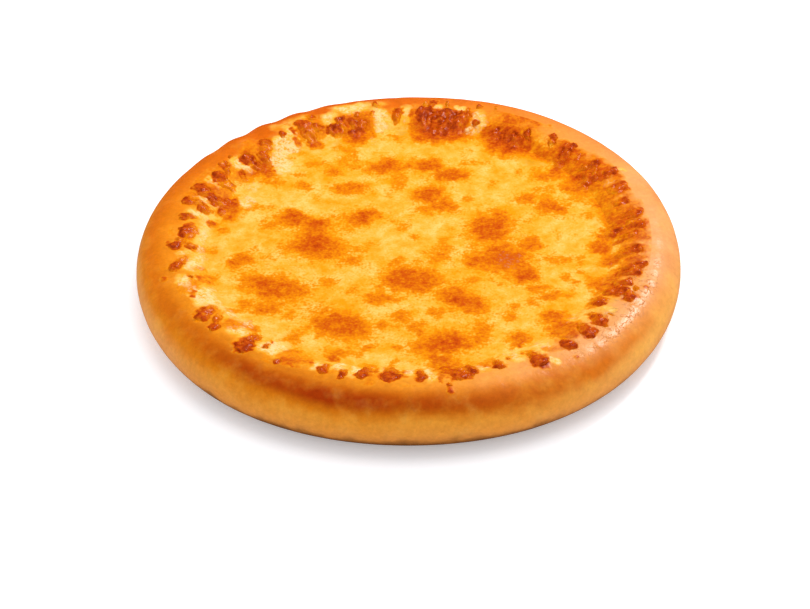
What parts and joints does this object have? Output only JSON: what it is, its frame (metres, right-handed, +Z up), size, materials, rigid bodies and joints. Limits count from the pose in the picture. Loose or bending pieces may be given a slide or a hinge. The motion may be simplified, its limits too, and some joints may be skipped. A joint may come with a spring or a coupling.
{
  "type": "cheese pizza",
  "caption": "Whole round cheese pizza: a thick rolled dough rim pinched into folds round melted cheese that climbs the folds as browned clots.",
  "frame": {"origin": "middle of the flat base, on the surface the pizza rests on", "axes": "+Z up, out of the cheese; +X to the right and +Y to the back of the reference view"},
  "size_m": [0.2786, 0.28, 0.0315],
  "materials": {
    "baked_dough": "golden baked crust, satin, darker on top and paler down the side",
    "melted_cheese": "melted golden cheese with browned blisters and browned clots at the rim"
  },
  "bodies": {
    "root": {"crust": "baked_dough", "cheese": "melted_cheese"}
  },
  "joints": []
}
